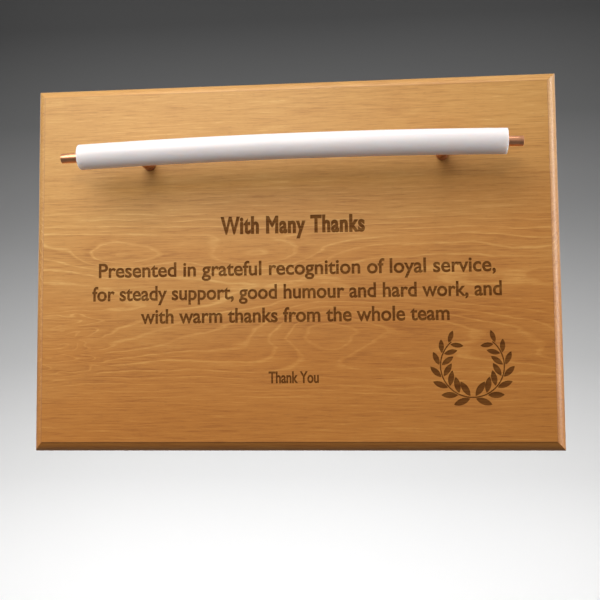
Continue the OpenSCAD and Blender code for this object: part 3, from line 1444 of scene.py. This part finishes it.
@dataclass
class CableSample:
    """The length of cable: its covering, and the conductor with everything inside it."""

    line: BowedLine = field(default_factory=BowedLine)
    cover_half: float = 136.5 * MM
    left_stub: float = 12.0 * MM
    right_stub: float = 10.0 * MM
    cover_radius: float = 8.1 * MM
    copper_radius: float = 3.15 * MM
    copper_wall: float = 0.65 * MM
    tube_radius: float = 0.75 * MM
    tube_wall: float = 0.2 * MM
    inner_wires: int = 8
    inner_wire: float = 0.44 * MM
    outer_wires: int = 16
    outer_wire: float = 0.395 * MM
    gap: float = 0.02 * MM
    seat_depth: float = 6.0 * MM
    tube_steps: int = 72
    wire_steps: int = 24

    @property
    def cover_ends(self) -> tuple[float, float]:
        """Where the covering begins and ends along the line."""
        return -self.cover_half, self.cover_half

    @property
    def core_ends(self) -> tuple[float, float]:
        """Where the conductor begins and ends along the line."""
        return -self.cover_half - self.left_stub, self.cover_half + self.right_stub

    def tube(
        self, name: str, ends: tuple[float, float], radius: float, wall: float, sides: int, rounding: float
    ) -> Workpiece:
        """A tube along the line, its end rims eased.

        Args:
            name: the piece's name.
            ends: where it begins and ends.
            radius: its outer radius.
            wall: its wall.
            sides: how many sides it has round its rim.
            rounding: how far the outer rims are eased.

        Returns:
            The tube.
        """
        start, end = ends
        tube = Workpiece.disc(name, self.line.point(start), radius, self.line.facing(start), sides)
        tube.edit_whole()
        tube.open_middle(wall)
        self.line.sweep(tube, start, end, self.tube_steps)
        self.ease_rims(tube, ends, radius - wall / 2, rounding)
        return tube

    def ease_rims(
        self, piece: Workpiece, ends: tuple[float, float], inside: float, rounding: float
    ) -> None:
        """Rounds the outer rims at both ends of a swept piece.

        Args:
            piece: the swept piece.
            ends: where it begins and ends.
            inside: edges nearer the line than this are left sharp.
            rounding: how far the rims are eased.
        """
        caps = [(self.line.point(at), self.line.facing(at)) for at in ends]
        off_plane = 10 * TINY

        def on_rim(a: Vector, b: Vector) -> bool:
            """Says whether an edge lies in an end's plane, outside the inner radius."""
            return any(
                abs((a - spot) @ way) < off_plane
                and abs((b - spot) @ way) < off_plane
                and min((a - spot).length, (b - spot).length) > inside
                for spot, way in caps
            )

        piece.edit()
        piece.pick_edges(on_rim)
        piece.bevel(rounding, 3)
        piece.settle()

    def wires(self, name: str, count: int, ring: float, radius: float) -> Workpiece:
        """One layer of strand wires.

        Args:
            name: the layer's name.
            count: how many wires it has.
            ring: radius of the circle that their middles lie on.
            radius: a wire's radius.

        Returns:
            The layer as one piece of separate wires.
        """
        start, end = self.core_ends
        discs = []
        for index in range(count):
            turn = 2 * math.pi * index / count
            spot = self.line.point(start, ring * math.cos(turn), -ring * math.sin(turn))
            facing = self.line.facing(start)
            discs.append(Workpiece.disc(f"{name}_{index}", spot, radius, facing, sides=14))
        discs[0].absorb(discs[1:])
        discs[0].obj.name = name
        self.line.sweep(discs[0], start, end, self.wire_steps)
        return discs[0]

    def covering(self) -> Workpiece:
        """The white covering, with a round seat cut into its back for each spacer.

        Returns:
            The covering.
        """
        wall = self.cover_radius - self.copper_radius - self.gap
        cover = self.tube("cable_covering", self.cover_ends, self.cover_radius, wall, 72, 0.35 * MM)
        for side in Side:
            low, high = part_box(f"{side.word}_spacer")
            middle = (low + high) / 2
            front = (middle.x, low.y, middle.z)
            back = (middle.x, low.y + self.seat_depth, middle.z)
            cover.cut(Workpiece.rod("seat", front, back, (high.x - low.x) / 2, sides=48))
        return cover

    def bundle(self) -> Workpiece:
        """The fibres in their jelly, as one rod.

        Returns:
            The rod.
        """
        start, end = self.core_ends
        radius = self.tube_radius - self.tube_wall - self.gap
        spot, facing = self.line.point(start), self.line.facing(start)
        rod = Workpiece.disc("fibres_in_jelly", spot, radius, facing, sides=16)
        self.line.sweep(rod, start, end, self.wire_steps)
        return rod

    def build(self) -> None:
        """Makes the sample and hands its pieces over."""
        low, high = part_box("cable_insulation")
        white = Polyethylene((low.x, high.x)).material()
        copper, steel = CONDUCTOR_COPPER.material(), STRAND_STEEL.material()
        self.covering().deliver(white, "white_polyethylene", "cable_insulation")

        ends = self.core_ends
        core = self.tube("copper_tube", ends, self.copper_radius, self.copper_wall, 48, 0.18 * MM)
        core.deliver(copper, "conductor_copper", "conductor_tube")

        inner_ring = self.tube_radius + self.gap + self.inner_wire
        outer_ring = inner_ring + self.inner_wire + self.gap + self.outer_wire
        inner = self.wires("inner_wires", self.inner_wires, inner_ring, self.inner_wire)
        inner.deliver(steel, "strand_steel", "strand_inner", angle=40)
        outer = self.wires("outer_wires", self.outer_wires, outer_ring, self.outer_wire)
        outer.deliver(steel, "strand_steel", "strand_outer", angle=40)

        tube = self.tube("steel_fibre_tube", ends, self.tube_radius, self.tube_wall, 24, 0.04 * MM)
        tube.deliver(steel, "strand_steel", "fibre_tube")
        self.bundle().deliver(FibreJelly().material(), "fibre_jelly", "fibre_bundle", angle=40)


@dataclass
class Spacer:
    """One of the two copper tubes that hold the cable off the board."""

    side: Side
    wall: float = 1.5 * MM
    rounding: float = 0.25 * MM

    def build(self, copper: Material) -> None:
        """Makes the spacer and hands it over.

        Args:
            copper: its material, darkened with painted shade.
        """
        node = f"{self.side.word}_spacer"
        low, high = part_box(node)
        middle = (low + high) / 2
        radius = (high.x - low.x) / 2
        back = (middle.x, high.y, middle.z)
        tube = Workpiece.disc(f"{node}_tube", back, radius, (0, -1, 0), sides=48)
        tube.edit_whole()
        tube.open_middle(self.wall)
        tube.push((0, low.y - high.y, 0))
        tube.tidy()
        tube.edit()
        tube.pick_edges(lambda a, b: abs(a.y - b.y) < TINY)
        tube.bevel(self.rounding, 2)
        tube.settle()
        tube.deliver(copper, "spacer_copper", node)


# ---------------------------------------------------------------- back hardware


@dataclass
class HangerPlate:
    """A keyhole plate let into the board's back."""

    side: Side
    entry_radius: float = 4.5 * MM
    slot_width: float = 4.6 * MM
    slot_rise: float = 9.0 * MM
    screw_pitch: float = 34.0 * MM
    screw_radius: float = 1.5 * MM
    head_radius: float = 2.8 * MM
    rim: float = 0.2 * MM
    eased: float = 0.12 * MM

    def build(self, zinc: Material, board: Board) -> None:
        """Makes the plate and hands it over.

        Args:
            zinc: its material.
            board: the board, for its round-ended blocks.
        """
        node = f"{self.side.word}_hanger"
        low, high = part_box(node)
        middle = (low + high) / 2
        plate = board.round_ended(f"{node}_plate", low, high)
        plate.edit()
        plate.pick_faces(lambda centre, normal: normal.y > 0.9)
        plate.inset(self.rim)  # a narrow rim, so that the easing stays at the edge
        plate.settle()
        self.punch_keyhole(plate, middle, low.y - MM, high.y + MM)
        for end in (-1, 1):
            spot = Vector((middle.x, 0, middle.z + end * self.screw_pitch / 2))
            plate.cut(self.countersink(spot, low.y, high.y))
        edges = plate.obj.modifiers.new("edges", "BEVEL")
        edges.width = self.eased
        edges.segments = 2
        edges.limit_method = "ANGLE"
        edges.angle_limit = math.radians(50)
        plate.settle()
        bpy.ops.object.modifier_apply(modifier=edges.name)
        plate.paint(zinc)
        plate.smooth()
        plate.flat_faces()
        plate.hand_over("zinc_steel", node)

    def punch_keyhole(self, plate: Workpiece, middle: Vector, from_y: float, to_y: float) -> None:
        """Cuts the round entry, the slot above it and the slot's round end.

        Args:
            plate: what is punched.
            middle: the plate's middle.
            from_y: where the cut begins.
            to_y: where it ends.
        """
        half = self.slot_width / 2
        low_z, high_z = middle.z - self.slot_rise / 2, middle.z + self.slot_rise / 2
        for z, radius in ((low_z, self.entry_radius), (high_z, half)):
            plate.cut(Workpiece.rod("punch", (middle.x, from_y, z), (middle.x, to_y, z), radius, sides=48))
        slot_low, slot_high = (middle.x - half, from_y, low_z), (middle.x + half, to_y, high_z)
        plate.cut(Workpiece.block("slot_punch", slot_low, slot_high))

    def countersink(self, at: Vector, inner_y: float, outer_y: float) -> Workpiece:
        """The cutter for one screw's cone.

        Args:
            at: a point on its axis.
            inner_y: the plate's inner face.
            outer_y: its outer face.

        Returns:
            The cutter.
        """
        past, fit = 0.2 * MM, 0.02 * MM
        slope = (self.head_radius - self.screw_radius) / (outer_y - inner_y)
        small = self.screw_radius + fit - slope * past
        large = self.head_radius + fit + slope * past
        centre = (at.x, inner_y - past, at.z)
        cone = Workpiece.disc("countersink", centre, small, (0, 1, 0), sides=48)
        cone.edit_whole()
        cone.push((0, outer_y - inner_y + 2 * past, 0))
        cone.resize(large / small, (at.x, outer_y + past, at.z))
        cone.tidy()
        return cone


@dataclass
class BumperPad:
    """One round rubber pad at a corner of the back."""

    node: str
    crown: float = 1.1 * MM
    rim: float = 1.4 * MM
    dish_wall: float = 0.5 * MM
    dish_depth: float = 0.25 * MM

    def build(self, rubber: Material) -> None:
        """Makes the pad and hands it over.

        Args:
            rubber: its material.
        """
        low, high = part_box(self.node)
        middle = (low + high) / 2
        radius = (high.x - low.x) / 2
        glued, outer = (middle.x, low.y, middle.z), (middle.x, high.y, middle.z)
        pad = Workpiece.rod(f"{self.node}_rubber", glued, outer, radius, sides=48)
        pad.edit()
        pad.pick_edges(lambda a, b: a.y > high.y - TINY and b.y > high.y - TINY)
        pad.bevel(self.crown, 5)
        pad.pick_faces(lambda centre, normal: normal.y > 0.99)
        pad.inset(self.rim)
        pad.inset(self.dish_wall, -self.dish_depth)
        pad.tidy()
        pad.deliver(rubber, "pad_rubber", self.node, angle=40)


@dataclass
class Fasteners:
    """The screws and washers, which keep their CAD shapes and take the zinc finish."""

    nodes: tuple[str, ...] = ("cable_screws", "screw_washers", "hanger_screws")

    def build(self, zinc: Material) -> None:
        """Dresses the fasteners.

        Args:
            zinc: their material.
        """
        for name in self.nodes:
            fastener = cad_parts[name]
            fastener.data.materials.clear()
            fastener.data.materials.append(zinc)
            LOG.info("%s: CAD shape, zinc finish", name)


# ---------------------------------------------------------------- studio


@dataclass(frozen=True)
class Softbox:
    """A rectangular soft light."""

    name: str
    place: Point
    aim: Point
    size: tuple[float, float]
    power: float
    tint: Colour = (1.0, 1.0, 1.0)
    spread: float = 180.0
    glossy: bool = True

    def hang(self) -> None:
        """Puts the light in the studio."""
        light = bpy.data.lights.new(self.name, "AREA")
        light.shape = "RECTANGLE"
        light.size, light.size_y = self.size
        light.energy = self.power
        light.color = self.tint
        light.spread = math.radians(self.spread)
        lamp = bpy.data.objects.new(self.name, light)
        lamp.location = self.place
        lamp.rotation_euler = (Vector(self.aim) - Vector(self.place)).to_track_quat("-Z", "Y").to_euler()
        lamp.visible_camera = False
        lamp.visible_glossy = self.glossy
        bpy.context.scene.collection.objects.link(lamp)


@dataclass
class Studio:
    """A pale sweep, soft lights and the camera."""

    floor_z: float = -0.62
    wall_y: float = 1.7
    half_width: float = 8.0
    front_y: float = -8.0
    wall_top: float = 2.6
    sweep_radius: float = 0.9
    lens: float = 51.0
    camera_place: Point = (0.0554, -0.5810, -0.1396)
    camera_azimuth: float = 5.044
    camera_elevation: float = -4.025
    camera_roll: float = -0.524
    sensor_width: float = 36.0
    room_above: float = 0.44
    room_below: float = 0.04
    # painted light fall-off: where the paper starts to turn grey, and over what height
    fade_from: float = -600.0
    fade_height: float = 1400.0
    # painted shade on the floor: its middle along Y, its reach, and how dark it gets
    bright_y: float = -600.0
    bright_reach: tuple[float, float] = (750.0, 1550.0)
    bright_floor: float = 0.20

    def sweep(self) -> None:
        """A floor that curves up into the back wall."""
        deselect_everything()
        depth = self.wall_y - self.front_y
        middle = (self.front_y + self.wall_y) / 2
        bpy.ops.mesh.primitive_plane_add(size=1, location=(0, middle, self.floor_z))
        bpy.context.object.scale = (2 * self.half_width, depth, 1)
        sweep = Workpiece("studio_sweep")
        sweep.edit()
        back = self.wall_y - 0.1 * MM
        sweep.pick_edges(lambda a, b: a.y > back and b.y > back)
        sweep.push((0, 0, self.wall_top - self.floor_z))
        low = self.floor_z + 0.1 * MM
        sweep.pick_edges(lambda a, b: min(a.y, b.y) > back and max(a.z, b.z) < low)
        sweep.bevel(self.sweep_radius, 24)
        sweep.settle()
        sweep.smooth(angle=60)
        sweep.paint(self.paper())

    def paper(self) -> Material:
        """Pale studio paper with painted light fall-off: it turns grey higher up, and painted shade
        darkens the floor in a wide band round the plaque.

        Returns:
            The material.
        """
        shader = Shader("studio_paper")
        # painted light fall-off: the paper's colour turns grey with height, standing in for light that
        # falls off higher up
        above = shader.minus(shader.axis("Z"), self.fade_from)
        height = shader.math("DIVIDE", above, self.fade_height, clamp=True)
        painted_falloff_grey = shader.ramp(
            height,
            [
                (0.0, 0.93),
                (0.06, 0.80),
                (0.14, 0.63),
                (0.33, 0.40),
                (0.56, 0.235),
                (0.8, 0.085),
                (1.0, 0.03),
            ],
            "LINEAR",
        )
        # painted shade: the floor is darkened in a wide band round the plaque, so that it throws less
        # light up onto the board
        away = shader.size(shader.minus(shader.axis("Y"), self.bright_y))
        front = shader.between(away, *self.bright_reach, self.bright_floor, 1.0)
        fibres = shader.between(shader.noise((1.5, 1.5, 1.5), 2.0), 0.3, 0.7, 0.985, 1.0)
        colour = shader.mix(1.0, painted_falloff_grey, shader.times(front, fibres), "MULTIPLY")
        return shader.dress(Base_Color=colour, Roughness=0.9)

    def lights(self) -> None:
        """Hangs the lights."""
        boxes = (
            Softbox(
                "key_box", (-0.22, -0.60, 0.34), (0, 0, -0.03), (0.60, 0.44), 3.7, tint=(1.0, 0.975, 0.945)
            ),
            Softbox("top_box", (-0.05, -0.22, 0.80), (0, 0, 0), (0.60, 0.20), 0.6, spread=80),
            Softbox(
                "front_box",
                (0.02, -1.25, 0.22),
                (0, 0, -0.02),
                (0.24, 0.12),
                2.5,
                tint=(1.0, 0.93, 0.86),
                glossy=False,
            ),
            Softbox("right_strip", (0.85, -0.02, 0.05), (0.17, 0, -0.07), (0.10, 0.60), 1.0, spread=70),
            Softbox("left_strip", (-0.80, -0.25, 0.10), (-0.17, 0, -0.07), (0.15, 0.60), 0.35, spread=70),
            Softbox("floor_box", (-0.16, 1.0, 1.6), (-0.16, 1.7, -0.4), (2.2, 0.5), 14.5, spread=85),
            Softbox("back_left_box", (-0.75, 1.15, 0.4), (0, 0, -0.05), (0.8, 0.8), 1.3, spread=90),
            Softbox("back_right_box", (0.75, 1.15, 0.4), (0, 0, -0.05), (0.8, 0.8), 1.3, spread=90),
        )
        for box in boxes:
            box.hang()

    def room(self) -> None:
        """Sets the room's own white light, which is stronger from above than from below."""
        world = bpy.data.worlds.new("room")
        world.use_nodes = True
        nodes, links = world.node_tree.nodes, world.node_tree.links
        nodes["Background"].inputs["Color"].default_value = (1.0, 1.0, 1.0, 1.0)
        direction = nodes.new("ShaderNodeTexCoord")
        height = nodes.new("ShaderNodeSeparateXYZ")
        links.new(direction.outputs["Generated"], height.inputs["Vector"])
        sky = nodes.new("ShaderNodeMapRange")
        sky.inputs["From Min"].default_value = -0.25
        sky.inputs["From Max"].default_value = 0.45
        sky.inputs["To Min"].default_value = self.room_below
        sky.inputs["To Max"].default_value = self.room_above
        links.new(height.outputs["Z"], sky.inputs["Value"])
        links.new(sky.outputs["Result"], nodes["Background"].inputs["Strength"])
        bpy.context.scene.world = world

    def camera(self) -> None:
        """Sets the camera where the front of the plaque is seen from a little right and below."""
        azimuth, elevation = math.radians(self.camera_azimuth), math.radians(self.camera_elevation)
        level = math.cos(elevation)
        forward = Vector((-math.sin(azimuth) * level, math.cos(azimuth) * level, -math.sin(elevation)))
        camera = bpy.data.objects.new("camera", bpy.data.cameras.new("camera"))
        camera.data.lens = self.lens
        camera.data.sensor_width = self.sensor_width
        camera.data.clip_start = 0.01
        camera.location = self.camera_place
        camera.rotation_mode = "QUATERNION"
        roll = Quaternion((0, 0, 1), math.radians(self.camera_roll))
        camera.rotation_quaternion = forward.to_track_quat("-Z", "Y") @ roll
        bpy.context.scene.collection.objects.link(camera)
        bpy.context.scene.camera = camera

    def build(self) -> None:
        """Sets up the studio."""
        self.sweep()
        self.lights()
        self.room()
        self.camera()
        bpy.context.scene.view_settings.view_transform = "Standard"


def main() -> None:
    """Builds the plaque and the studio, in order."""
    logging.basicConfig(level=logging.INFO, format="%(name)s: %(message)s")
    board = Board()
    board.build()
    CableSample().build()
    # the spacers' copper is darkened with painted shade
    copper = SHADE_DARKENED_SPACER_COPPER.material()
    zinc = ZincPlate().material()
    for side in Side:
        Spacer(side).build(copper)
        HangerPlate(side).build(zinc, board)
    Fasteners().build(zinc)
    rubber = PadRubber().material()
    for level in ("upper", "lower"):
        for side in Side:
            BumperPad(f"{level}_{side.word}_pad").build(rubber)
    Studio().build()


if __name__ == "__main__":
    main()
